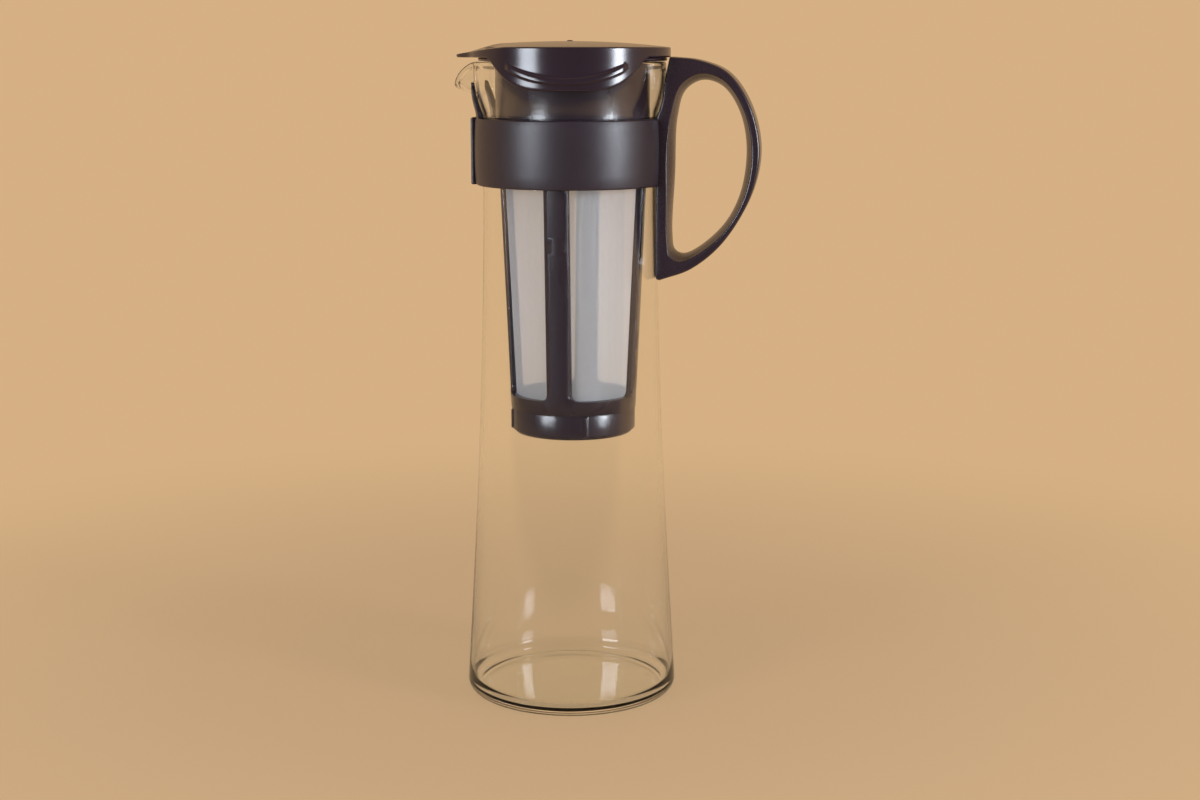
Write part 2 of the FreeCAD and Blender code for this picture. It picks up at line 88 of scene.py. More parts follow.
def curve_point(share, start, start_lean, end, end_lean):
    """A point on the cubic line that leaves start and reaches end with these leans."""
    square, cube = share ** 2, share ** 3
    return ((2 * cube - 3 * square + 1) * start + (cube - 2 * square + share) * start_lean
            + (3 * square - 2 * cube) * end + (cube - square) * end_lean)


def eased(share):
    """Rises from zero to one, slowly at both ends."""
    share = min(max(share, 0.0), 1.0)
    return share * share * (3 - 2 * share)


def body_radius(height):
    """Outer radius of the body: a smooth line through the girths, upright at the neck."""
    rises = [(high[1] - low[1]) / (high[0] - low[0]) for low, high in zip(girths, girths[1:])]
    middle_leans = [(low + high) / 2 for low, high in zip(rises, rises[1:])]
    leans = [rises[0]] + middle_leans + [0.0]
    index = 0
    while index < len(rises) - 1 and height > girths[index + 1][0]:
        index += 1
    low_height, low_radius = girths[index]
    high_height, high_radius = girths[index + 1]
    step = high_height - low_height
    share = min(max((height - low_height) / step, 0.0), 1.0)
    return curve_point(share, low_radius, step * leans[index], high_radius, step * leans[index + 1])


def bowl_radius(height):
    """Outer radius of the bowl without its spout."""
    rise = min(max((height - neck_top) / (rim_height - neck_top), 0.0), 1.0)
    return neck_radius + (rim_radius - neck_radius) * (1 - (1 - rise ** bowl_easing) ** bowl_fullness)


def glass_radius(angle, height):
    """Outer radius of the bowl, with the spout; the angle is measured from the spout."""
    bulge = 0.5 * (1 + math.cos(math.pi * min(abs(angle) / spout_half_angle, 1.0)))
    rise = (height - spout_root_height) / (spout_tip_height - spout_root_height)
    return bowl_radius(height) + spout_reach * bulge * eased(rise)


def rim_line(reach):
    """Height of the rim at a distance towards the spout: level, then drooping to the tip."""
    share = min(max((reach - spout_shoulder_x) / (spout_tip_x - spout_shoulder_x), 0.0), 1.0)
    drop = (1 - share ** spout_droop_power) ** (1 / spout_droop_power)
    return spout_tip_height + (rim_height - spout_tip_height) * drop


def rim_height_at(angle):
    """Height at which the bowl meets the rim line, found by halving."""
    low, high = spout_root_height, rim_height
    for _ in range(rim_search_steps):
        middle = (low + high) / 2
        if middle < rim_line(glass_radius(angle, middle) * math.cos(angle)):
            low = middle
        else:
            high = middle
    return high


def bead_share(height, lip_centre):
    """How much of the rim's bead the wall has taken on at a height."""
    return eased((height - lip_centre + rim_bead_height) / rim_bead_height)


def jug_column(angle):
    """Radius and height of the glass skin in one direction, from under the foot to the inner floor."""
    angle = math.remainder(angle, 2 * math.pi)
    foot_radius = girths[0][1] - heel_radius
    spots = [(foot_radius * share, punt_height * (1 - share ** 2) ** 2) for share in spread(0, 1, foot_rows)]
    for turn in spread(0, math.pi / 2, foot_rows, True):
        spots.append((foot_radius + heel_radius * math.sin(turn), heel_radius * (1 - math.cos(turn))))
    spots += [(body_radius(height), height) for height in spread(heel_radius, neck_bottom, body_rows, True)]
    spots += [(neck_radius, height) for height in spread(neck_bottom, neck_top, neck_rows, True)]
    lip_centre = rim_height_at(angle) - rim_bead
    outer_extra = rim_bead - glass_wall / 2
    for height in spread(neck_top, lip_centre, bowl_rows, True):
        bead = bead_share(height, lip_centre) * outer_extra / 2
        spots.append((glass_radius(angle, height) + bead, height))
    outer_lip = spots[-1][0]
    for turn in spread(0, math.pi, corner_rows, True):
        spots.append((outer_lip - rim_bead + rim_bead * math.cos(turn),
                      lip_centre + rim_bead * math.sin(turn)))
    inner_lip = spots[-1][0]
    plain_inner = glass_radius(angle, lip_centre - spout_floor_lift) - glass_wall
    for height in spread(lip_centre, neck_top + spout_floor_lift, bowl_rows, True):
        bead = bead_share(height, lip_centre) * (inner_lip - plain_inner)
        spots.append((glass_radius(angle, height - spout_floor_lift) - glass_wall + bead, height))
    spots += [(neck_radius - glass_wall, height)
              for height in spread(neck_top, neck_bottom, neck_rows, True)]
    corner_height = floor_thickness + inner_corner_radius
    spots += [(body_radius(height) - glass_wall, height)
              for height in spread(neck_bottom, corner_height, body_rows, True)]
    floor_radius = spots[-1][0] - inner_corner_radius
    for turn in spread(0, math.pi / 2, corner_rows, True):
        spots.append((floor_radius + inner_corner_radius * math.cos(turn),
                      corner_height - inner_corner_radius * math.sin(turn)))
    spots += [(floor_radius * share, floor_thickness + punt_height * (1 - share ** 2) ** 2)
              for share in spread(1, 0, corner_rows, True)]
    return spots


def turned_skin(columns_at, count, first_angle=0.0):
    """A closed skin from columns of radius and height at even turns about the upright axis."""
    bm = bmesh.new()
    rings = []
    for index in range(count):
        angle = 2 * math.pi * index / count
        direction = Vector((math.cos(first_angle + angle), math.sin(first_angle + angle)))
        rings.append([bm.verts.new((radius * direction.x, radius * direction.y, height))
                      for radius, height in columns_at(angle)])
    for index, ring in enumerate(rings):
        following = rings[(index + 1) % count]
        for row in range(len(ring) - 1):
            bm.faces.new((ring[row], following[row], following[row + 1], ring[row + 1]))
    bmesh.ops.remove_doubles(bm, verts=bm.verts, dist=merge_distance)
    bmesh.ops.recalc_face_normals(bm, faces=bm.faces)
    return bm


def finished_piece(name, bm, material, sharp_angle=180.0):
    """A smooth-shaded object in the scene, with edges over the sharp angle kept crisp."""
    mesh = bpy.data.meshes.new(name)
    bm.to_mesh(mesh)
    bm.free()
    mesh.shade_smooth()
    if sharp_angle < 180:
        mesh.set_sharp_from_angle(angle=math.radians(sharp_angle))
    mesh.materials.append(material)
    piece = bpy.data.objects.new(name, mesh)
    bpy.context.scene.collection.objects.link(piece)
    return piece


def new_material(name):
    """A new material with its nodes, its links and its main shader."""
    material = bpy.data.materials.new(name)
    material.use_nodes = True
    nodes = material.node_tree.nodes
    return material, nodes, material.node_tree.links, nodes["Principled BSDF"]


def object_noise(nodes, links, scale, stretch=(1, 1, 1), detail=2.0):
    """A noise pattern fixed to the piece, with scale in features per metre."""
    place = nodes.new("ShaderNodeTexCoord")
    mapping = nodes.new("ShaderNodeMapping")
    mapping.inputs["Scale"].default_value = stretch
    noise = nodes.new("ShaderNodeTexNoise")
    noise.inputs["Scale"].default_value = scale
    noise.inputs["Detail"].default_value = detail
    links.new(place.outputs["Object"], mapping.inputs["Vector"])
    links.new(mapping.outputs["Vector"], noise.inputs["Vector"])
    return noise


def math_node(tree, operation, first, second=None):
    """The result of one sum on sockets or numbers."""
    node = tree.nodes.new("ShaderNodeMath")
    node.operation = operation
    for socket, value in zip(node.inputs, (first, second)):
        if isinstance(value, (int, float)):
            socket.default_value = value
        elif value is not None:
            tree.links.new(value, socket)
    return node.outputs[0]


def blown_glass():
    """Clear glass with the faint upright waves of blowing.

    Shadow and diffuse rays pass straight through, so that its light is counted only once.
    """
    material, nodes, links, glass = new_material("blown_glass")
    glass.inputs["Base Color"].default_value = (0.985, 0.99, 0.98, 1)
    glass.inputs["Roughness"].default_value = 0.0
    glass.inputs["IOR"].default_value = 1.47
    glass.inputs["Transmission Weight"].default_value = 1.0
    waves = object_noise(nodes, links, scale=45, stretch=(1, 1, 0.16), detail=1.0)
    bump = nodes.new("ShaderNodeBump")
    bump.inputs["Strength"].default_value = 0.35
    bump.inputs["Distance"].default_value = 0.35 * mm
    links.new(waves.outputs["Fac"], bump.inputs["Height"])
    links.new(bump.outputs["Normal"], glass.inputs["Normal"])
    clear = nodes.new("ShaderNodeBsdfTransparent")
    clear.inputs["Color"].default_value = (0.94, 0.95, 0.94, 1)
    path = nodes.new("ShaderNodeLightPath").outputs
    mix = nodes.new("ShaderNodeMixShader")
    passing = math_node(material.node_tree, "MAXIMUM", path["Is Shadow Ray"], path["Is Diffuse Ray"])
    links.new(passing, mix.inputs["Fac"])
    links.new(glass.outputs["BSDF"], mix.inputs[1])
    links.new(clear.outputs["BSDF"], mix.inputs[2])
    links.new(mix.outputs["Shader"], nodes["Material Output"].inputs["Surface"])
    return material


jug = finished_piece("blown_jug", turned_skin(jug_column, jug_columns, math.pi), blown_glass())
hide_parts("glass_jug")
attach(jug, "jug")


# Neck band. A moulded polypropylene ring with a satin, finely grained face, opened under the
# spout for fitting, with a dovetail rail there and two prongs that steady the bowl.
chocolate = (0.0185, 0.0105, 0.0150)
colour_swing = 0.18
sheen_swing = 0.2
facet_merge_distance = 0.002 * mm
moulded_sharp_angle = 50.0
band_grain_scale = 1500


def moulded_copy(name, node, material):
    """The node's own form with its facets merged, and its bevels shaded as rounded edges."""
    bm = bmesh.new()
    bm.from_mesh(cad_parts[node].data)
    bmesh.ops.remove_doubles(bm, verts=bm.verts, dist=facet_merge_distance)
    bmesh.ops.recalc_face_normals(bm, faces=bm.faces)
    piece = finished_piece(name, bm, material, moulded_sharp_angle)
    even = piece.modifiers.new("even_faces", "WEIGHTED_NORMAL")
    even.keep_sharp = True
    return piece


def moulded_plastic(name, roughness, grain, depth):
    """Dark polypropylene: a colour that clouds a little, and grain in sheen and surface."""
    material, nodes, links, plastic = new_material(name)
    plastic.inputs["IOR"].default_value = 1.49
    clouds = object_noise(nodes, links, scale=55, detail=3.0)
    tint = nodes.new("ShaderNodeMix")
    tint.data_type = "RGBA"
    tint.inputs[6].default_value = (*[(1 - colour_swing) * part for part in chocolate], 1)
    tint.inputs[7].default_value = (*[(1 + colour_swing) * part for part in chocolate], 1)
    links.new(clouds.outputs["Fac"], tint.inputs["Factor"])
    links.new(tint.outputs[2], plastic.inputs["Base Color"])
    speckle = object_noise(nodes, links, scale=grain, detail=3.0)
    sheen = nodes.new("ShaderNodeMapRange")
    sheen.inputs["To Min"].default_value = roughness * (1 - sheen_swing)
    sheen.inputs["To Max"].default_value = roughness * (1 + sheen_swing)
    links.new(speckle.outputs["Fac"], sheen.inputs["Value"])
    links.new(sheen.outputs["Result"], plastic.inputs["Roughness"])
    bump = nodes.new("ShaderNodeBump")
    bump.inputs["Strength"].default_value = 0.5
    bump.inputs["Distance"].default_value = depth
    links.new(speckle.outputs["Fac"], bump.inputs["Height"])
    links.new(bump.outputs["Normal"], plastic.inputs["Normal"])
    return material


band_plastic = moulded_plastic("band_plastic", roughness=0.42, grain=band_grain_scale, depth=0.05 * mm)
band = moulded_copy("neck_band_ring", "neck_band", band_plastic)
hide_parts("neck_band")
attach(band, "jug")


# Band clasp. A small moulded plate with a dovetail channel, in the band's satin plastic, that
# slides up over the rail from below and draws the band tight on the neck.
clasp = moulded_copy("clasp_plate", "band_clasp", band_plastic)
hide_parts("band_clasp")
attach(clasp, "clasp")


# Handle. A moulded D with flat sides and softly rounded edges, whose opening is crowned for
# the fingers and whose upright root wraps the band; glossy polypropylene from one mould.
# Points of the side view are in millimetres: out from the jug's axis, and up from the rim.
fine_grain_scale = 4200
handle_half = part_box("handle")[1][1]
handle_edge = 1.3 * mm
opening_edge = 0.8 * mm
opening_crown = 2.7 * mm
handle_inner_x = 39.3
handle_foot = (41.3, -95.1)
handle_foot_left = (39.3, -93.1)
handle_centre = (62.0, -43.0)
handle_foot_bulge = (-0.55, -0.55)
handle_stations = 480
curve_steps = 60
foot_steps = 8
strut_steps = 300
edge_steps = 5
opening_edge_steps = 4
crown_steps = 6
smallest_turn = 1e-9
handle_back = [(45.1, 2.2), (58.1, 0.7), (70.4, -4.6), (79.9, -18.0), (84.6, -37.7), (81.2, -57.2),
               (68.9, -78.3), (55.0, -90.0), handle_foot]
handle_throat = [(39.3, -23.8), (41.7, -17.2), (42.9, -8.2), (45.1, 2.2)]
handle_opening = [(44.6, -78.2), (44.4, -57.2), (44.5, -36.2), (46.3, -21.2), (50.2, -10.0),
                  (58.5, -5.2), (68.2, -7.9), (76.9, -19.8), (81.0, -38.2), (78.0, -58.2),
                  (68.2, -74.8), (51.0, -86.6), (46.0, -84.8)]


def smooth_through(points, closed=False):
    """A smooth line through points of a side view, by centripetal weights."""
    count = len(points)
    runs = count if closed else count - 1
    spots = []
    for index in range(runs):
        start, end = Vector(points[index]), Vector(points[(index + 1) % count])
        before = Vector(points[index - 1]) if closed or index > 0 else 2 * start - end
        after_index = index + 2
        after = Vector(points[after_index % count]) if closed or after_index < count else 2 * end - start
        first, second, third = [math.sqrt((b - a).length) for a, b in
                                ((before, start), (start, end), (end, after))]
        start_lean = ((start - before) / first - (end - before) / (first + second)
                      + (end - start) / second) * second
        end_lean = ((end - start) / second - (after - start) / (second + third)
                    + (after - end) / third) * second
        spots += [curve_point(share, start, start_lean, end, end_lean)
                  for share in spread(0, 1, curve_steps)[:-1]]
    return spots if closed else spots + [Vector(points[-1])]


def reach_by_turn(outline, count):
    """Distance of a closed outline from the handle's centre, at even turns about it."""
    centre = Vector(handle_centre)
    polar = []
    for spot in outline:
        arm = spot - centre
        polar.append((math.atan2(arm.y, arm.x) % (2 * math.pi), arm.length))
    polar.sort()
    before = (polar[-1][0] - 2 * math.pi, polar[-1][1])
    after = (polar[0][0] + 2 * math.pi, polar[0][1])
    polar = [before] + polar + [after]
    reaches, place = [], 0
    for index in range(count):
        turn = 2 * math.pi * index / count
        while polar[place + 1][0] < turn:
            place += 1
        (low_turn, low), (high_turn, high) = polar[place], polar[place + 1]
        share = (turn - low_turn) / max(high_turn - low_turn, smallest_turn)
        reaches.append(low + (high - low) * share)
    return reaches


def handle_section(outer, inner):
    """Half-width and reach around one cut through the handle, with rounded edges and a crown."""
    spots = []
    for turn in spread(0, math.pi / 2, edge_steps):
        spots.append((handle_half - handle_edge + handle_edge * math.sin(turn),
                      outer - handle_edge + handle_edge * math.cos(turn)))
    for turn in spread(0, math.pi / 2, opening_edge_steps):
        spots.append((handle_half - opening_edge + opening_edge * math.cos(turn),
                      inner + opening_edge - opening_edge * math.sin(turn)))
    for share in spread(1, 0, crown_steps, True):
        width = (handle_half - opening_edge) * share
        spots.append((width, inner - opening_crown * (1 - share ** 2)))
    return spots + [(-width, reach) for width, reach in spots[-2::-1]]


def handle_skin():
    """The whole handle: one closed cut after another around its centre."""
    foot_line = Vector(handle_foot_left) - Vector(handle_foot)
    foot_bend = [Vector(handle_foot) + foot_line * share
                 + Vector(handle_foot_bulge) * math.sin(math.pi * share)
                 for share in spread(0, 1, foot_steps)]
    strut = [Vector((handle_inner_x, height))
             for height in spread(handle_foot_left[1], handle_throat[0][1], strut_steps)]
    outline = smooth_through(handle_back) + foot_bend + strut + smooth_through(handle_throat)
    outer = reach_by_turn(outline, handle_stations)
    inner = reach_by_turn(smooth_through(handle_opening, True), handle_stations)
    bm = bmesh.new()
    rings = []
    for index in range(handle_stations):
        turn = 2 * math.pi * index / handle_stations
        ring = []
        for width, reach in handle_section(outer[index] * mm, inner[index] * mm):
            x = handle_centre[0] * mm + reach * math.cos(turn)
            z = rim_height + handle_centre[1] * mm + reach * math.sin(turn)
            ring.append(bm.verts.new((x, width, z)))
        rings.append(ring)
    for index, ring in enumerate(rings):
        following = rings[(index + 1) % handle_stations]
        for row in range(len(ring)):
            bm.faces.new((ring[row], ring[row - 1], following[row - 1], following[row]))
    bmesh.ops.recalc_face_normals(bm, faces=bm.faces)
    return bm


handle_plastic = moulded_plastic("handle_plastic", roughness=0.27, grain=fine_grain_scale, depth=0.012 * mm)
handle = finished_piece("d_handle", handle_skin(), handle_plastic, sharp_angle=40)
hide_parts("handle")
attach(handle, "jug")


# Lid. A glossy moulded dome that sits on the strainer's flange, with a tongue over the spout,
# two petals down the outside of the glass and a raised smile on each to lift it by.
lid_turn = math.radians(5.3)
lid_radius = 44.5 * mm
lid_wall = 1.5 * mm
lid_foot = rim_height + 1.8 * mm
lid_rim_top = lid_foot + 4.5 * mm
lid_crown = lid_rim_top + 2.6 * mm
lid_edge = 0.7 * mm
nub_radius = 1.3 * mm
nub_height = 0.4 * mm
nub_profile = [(0, 1), (0.7, 1), (0.95, 0.7), (1, 0)]
tongue_extra = 5.7 * mm
tongue_half_angle = math.radians(22.5)
tongue_power = 4.6
tongue_root = 26.0 * mm
tongue_drop = 3.0 * mm
tongue_dip_power = 1.3
drop_start = 0.6
petal_half_width = 35.0 * mm
petal_depth = 13.9 * mm
petal_power = 2.3
petal_softness = 1.2 * mm
grip_half_width = 26.2 * mm
grip_top = lid_foot - 2.4 * mm
grip_bottom = lid_foot - 11.1 * mm
grip_reach = 1.8 * mm
grip_nose = 0.5 * mm
grip_bead = 1.7 * mm
smile_rise = 8.2
smile_hook = 1940
grip_swell = 0.35
grip_swell_power = 1.3
bead_top_share = 0.4
bead_growth = 0.25
nose_tuck = 0.35
under_lip_start = 0.1 * mm
under_lip_end = 0.3 * mm
under_lip_share = 0.1
grip_fade = 2.5 * mm
petal_side_margin = 1 * mm
petal_side_fade = 5 * mm
tongue_hollow = 0.5
tongue_foot_gap = 0.01 * mm
foot_step_share = 1.05
foot_top_share = 1.1
inner_drop_share = 0.8
dome_rows = 22
inner_dome_rows = 14
edge_rows = 5
wall_rows = 4
grip_rows = 16
foot_turn_rows = 6
bore_rows = 8
ring_corner_rows = 3
ring_edge = 0.4 * mm
lid_columns = 540
ring_columns = 128
plug_ring = (29.5 * mm, lid_foot - 5.5 * mm)
seat_ring = (37.5 * mm, lid_foot + 0.3 * mm)


def petal_edge(across):
    """Height of the lid's lower edge at a distance along the spout and handle line."""
    share = min(abs(across) / petal_half_width, 1.0) ** petal_power
    depth = petal_depth * math.cos(math.pi / 2 * share)
    soft = petal_softness * math.log(1 + math.exp((depth - petal_softness) / petal_softness))
    full = petal_softness * math.log(1 + math.exp((petal_depth - petal_softness) / petal_softness))
    rest = petal_softness * math.log(1 + math.exp(-1))
    return lid_foot - petal_depth * (soft - rest) / (full - rest)


def smile_line(across):
    """Height of the grip's lower lip."""
    return min(grip_bottom + smile_rise * across ** 2 + smile_hook * across ** 4, grip_top - grip_nose)


def drop_share(share):
    """How much of the rim's drop the dome has taken on, at a share of the way out."""
    return eased((share - drop_start) / (1 - drop_start))


def lid_column(angle):
    """Radius and height of the lid's skin in one direction, measured from the spout."""
    angle = math.remainder(angle, 2 * math.pi)
    tongue_share = math.cos(math.pi / 2 * min(abs(angle) / tongue_half_angle, 1.0)) ** tongue_power
    radius = lid_radius + tongue_extra * tongue_share
    towards_spout = radius * math.cos(angle)
    dip = max(towards_spout - tongue_root, 0.0) / (lid_radius + tongue_extra - tongue_root)
    top = lid_rim_top - tongue_drop * dip ** tongue_dip_power
    foot = petal_edge(lid_radius * math.cos(angle))
    shoulder = radius - lid_edge
    spots = [(nub_radius * out, lid_crown + nub_height * up) for out, up in nub_profile]
    for share in spread(0, 1, dome_rows, True):
        reach = nub_radius + (shoulder - nub_radius) * share
        level = lid_crown - (lid_crown - lid_rim_top) * (reach / shoulder) ** 2
        spots.append((reach, level - (lid_rim_top - top) * drop_share(reach / shoulder)))
    edge_bottom = top - min(lid_edge, (top - foot) / 3)
    for turn in spread(0, math.pi / 2, edge_rows, True):
        spots.append((shoulder + lid_edge * math.sin(turn),
                      edge_bottom + (top - edge_bottom) * math.cos(turn)))
    across = lid_radius * math.cos(angle)
    presence = eased((grip_half_width - abs(across)) / grip_fade)
    hold = eased((petal_half_width - petal_side_margin - abs(across)) / petal_side_fade)
    lip = smile_line(across)
    foot_round = lid_wall / 2

    def grip_offset(height):
        """How far the grip stands out: a swell that grows downwards, and a bead along its lip."""
        share = min(max((grip_top - height) / (grip_top - grip_bottom), 0.0), 1.0)
        bead = 1 - eased((height - lip - grip_bead) / grip_bead)
        swell = grip_swell * share ** grip_swell_power
        return presence * grip_reach * (swell + (bead_top_share + bead_growth * share) * bead)

    wanted = [(height, 0) for height in spread(edge_bottom, grip_top, wall_rows, True)]
    wanted += [(height, grip_offset(height))
               for height in spread(grip_top, lip + grip_nose, grip_rows, True)]
    nose = grip_offset(lip + grip_nose)
    for turn in spread(0, math.pi / 2, wall_rows, True):
        wanted.append((lip + grip_nose - grip_nose * math.sin(turn),
                       nose - nose_tuck * nose * (1 - math.cos(turn))))
    wanted.append((lip - under_lip_start, under_lip_share * nose))
    wanted.append((lip - under_lip_end, 0))
    wall_foot = petal_edge(across) + foot_round
    wanted += [(height, 0) for height in spread(lip - under_lip_end, wall_foot, wall_rows, True)]
    even = spread(edge_bottom, foot + foot_round, len(wanted), True)
    for (height, offset), level in zip(wanted, even):
        spots.append((radius + offset * hold, height * hold + level * (1 - hold)))
    for turn in spread(0, math.pi, foot_turn_rows, True):
        spots.append((radius - foot_round + foot_round * math.cos(turn),
                      foot + foot_round - foot_round * math.sin(turn)))
    bore = lid_radius - lid_wall
    if tongue_share > 0:
        spots.append((bore + (radius - lid_radius) * tongue_hollow, foot + tongue_foot_gap))
    else:
        spots.append((bore, foot + foot_round * foot_step_share))
    bore_foot = foot + foot_round * foot_top_share
    spots.append((bore, bore_foot))
    bore_top = lid_rim_top - (lid_rim_top - top) * inner_drop_share - lid_wall
    spots += [(bore, height) for height in spread(bore_foot, bore_top, bore_rows, True)]
    for share in spread(1, 0, inner_dome_rows, True):
        level = lid_crown - (lid_crown - lid_rim_top) * share ** 2 - lid_wall
        spots.append((bore * share, level - (lid_rim_top - lid_wall - bore_top) * drop_share(share)))
    return spots


def ring_column(radius, bottom, top, wall, edge):
    """One closed cut through a plain ring, with rounded foot corners."""
    spots = [(radius - wall, top), (radius, top)]
    for turn in spread(0, math.pi / 2, ring_corner_rows):
        spots.append((radius - edge + edge * math.cos(turn), bottom + edge - edge * math.sin(turn)))
    for turn in spread(0, math.pi / 2, ring_corner_rows):
        spots.append((radius - wall + edge - edge * math.sin(turn), bottom + edge - edge * math.cos(turn)))
    return spots + [spots[0]]


def joined(first, second):
    """Both skins in one."""
    spare = bpy.data.meshes.new("spare")
    second.to_mesh(spare)
    first.from_mesh(spare)
    second.free()
    bpy.data.meshes.remove(spare)
    return first


lid_skin = turned_skin(lid_column, lid_columns, math.pi + lid_turn)
for ring_radius, ring_bottom in (plug_ring, seat_ring):
    ring_top = lid_crown - (lid_crown - lid_rim_top) * (ring_radius / lid_radius) ** 2 - lid_wall / 2
    spots = ring_column(ring_radius, ring_bottom, ring_top, lid_wall, ring_edge)
    joined(lid_skin, turned_skin(lambda angle: spots, ring_columns))
lid_plastic = moulded_plastic("lid_plastic", roughness=0.2, grain=fine_grain_scale, depth=0.01 * mm)
lid = finished_piece("domed_lid", lid_skin, lid_plastic, sharp_angle=42)
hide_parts("lid")
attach(lid, "lid")


# Strainer frame. One moulding: a flange that hangs on the glass rim, a deep collar, four ribs
# that taper down between tall windows, and a spigot with bayonet lugs for the cap.
strainer_plastic = moulded_plastic("strainer_plastic", roughness=0.24, grain=fine_grain_scale,
                                   depth=0.012 * mm)
strainer = moulded_copy("strainer_ribs", "strainer_frame", strainer_plastic)
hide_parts("strainer_frame")
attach(strainer, "strainer")


# Filter cloth. A seamless sleeve of fine white polyester gauze, moulded into the inside of the
# ribs; light comes through it, and the far ribs show faintly behind.
cloth_low, cloth_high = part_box("filter_mesh")
cloth_axis_x = (cloth_low[0] + cloth_high[0]) / 2
cloth_bottom, cloth_top = cloth_low[2], cloth_high[2]
cloth_top_radius = (cloth_high[0] - cloth_low[0]) / 2
cloth_bottom_radius = 25.7 * mm
cloth_columns = 192
cloth_rows = 48
thread_pitch = 0.42 * mm
cloth_shaded = (0.73, 0.73, 0.68, 1)
cloth_lit = (0.74, 0.74, 0.90, 1)
light_through = 0.4


def sleeve_tree(material):
    """A conical sleeve: a flat grid wrapped around an upright axis."""
    tree = bpy.data.node_groups.new("cloth_sleeve", "GeometryNodeTree")
    sizes = (("Bottom Radius", cloth_bottom_radius), ("Top Radius", cloth_top_radius),
             ("Bottom Height", cloth_bottom), ("Top Height", cloth_top), ("Axis X", cloth_axis_x))
    for label, _ in sizes:
        tree.interface.new_socket(label, in_out="INPUT", socket_type="NodeSocketFloat")
    for label in ("Columns", "Rows"):
        tree.interface.new_socket(label, in_out="INPUT", socket_type="NodeSocketInt")
    tree.interface.new_socket("Geometry", in_out="OUTPUT", socket_type="NodeSocketGeometry")
    given = tree.nodes.new("NodeGroupInput").outputs
    result = tree.nodes.new("NodeGroupOutput")
    grid = tree.nodes.new("GeometryNodeMeshGrid")
    tree.links.new(given["Columns"], grid.inputs["Vertices X"])
    tree.links.new(given["Rows"], grid.inputs["Vertices Y"])
    place = tree.nodes.new("GeometryNodeInputPosition")
    parts = tree.nodes.new("ShaderNodeSeparateXYZ")
    tree.links.new(place.outputs[0], parts.inputs[0])
    turn = math_node(tree, "MULTIPLY", parts.outputs[0], 2 * math.pi)
    rise = math_node(tree, "ADD", parts.outputs[1], 0.5)
    spans = []
    for low, high in (("Bottom Radius", "Top Radius"), ("Bottom Height", "Top Height")):
        span = math_node(tree, "SUBTRACT", given[high], given[low])
        spans.append(math_node(tree, "ADD", math_node(tree, "MULTIPLY", span, rise), given[low]))
    radius, height = spans
    out = tree.nodes.new("ShaderNodeCombineXYZ")
    x = math_node(tree, "MULTIPLY", math_node(tree, "COSINE", turn), radius)
    tree.links.new(math_node(tree, "ADD", x, given["Axis X"]), out.inputs[0])
    tree.links.new(math_node(tree, "MULTIPLY", math_node(tree, "SINE", turn), radius), out.inputs[1])
    tree.links.new(height, out.inputs[2])
    moved = tree.nodes.new("GeometryNodeSetPosition")
    tree.links.new(grid.outputs["Mesh"], moved.inputs["Geometry"])
    tree.links.new(out.outputs[0], moved.inputs["Position"])
    cloth_uv = tree.nodes.new("GeometryNodeStoreNamedAttribute")
    cloth_uv.data_type = "FLOAT2"
    cloth_uv.domain = "CORNER"
    cloth_uv.inputs["Name"].default_value = "weave"
    tree.links.new(moved.outputs[0], cloth_uv.inputs["Geometry"])
    tree.links.new(grid.outputs["UV Map"], cloth_uv.inputs["Value"])
    realized = tree.nodes.new("GeometryNodeRealizeInstances")
    painted = tree.nodes.new("GeometryNodeSetMaterial")
    painted.inputs["Material"].default_value = material
    tree.links.new(cloth_uv.outputs[0], realized.inputs[0])
    tree.links.new(realized.outputs[0], painted.inputs["Geometry"])
    tree.links.new(painted.outputs[0], result.inputs[0])
    return tree, dict(sizes, Columns=cloth_columns + 1, Rows=cloth_rows + 1)


def grown_mesh(name, tree, sizes):
    """The mesh that a tree makes with these sizes, as a plain mesh."""
    holder = bpy.data.objects.new(name, bpy.data.meshes.new(name))
    bpy.context.scene.collection.objects.link(holder)
    growth = holder.modifiers.new("growth", "NODES")
    growth.node_group = tree
    for item in tree.interface.items_tree:
        if item.in_out == "INPUT" and item.name in sizes:
            growth[item.identifier] = sizes[item.name]
    grown = holder.evaluated_get(bpy.context.evaluated_depsgraph_get())
    mesh = bpy.data.meshes.new_from_object(grown)
    bpy.data.objects.remove(holder)
    return mesh


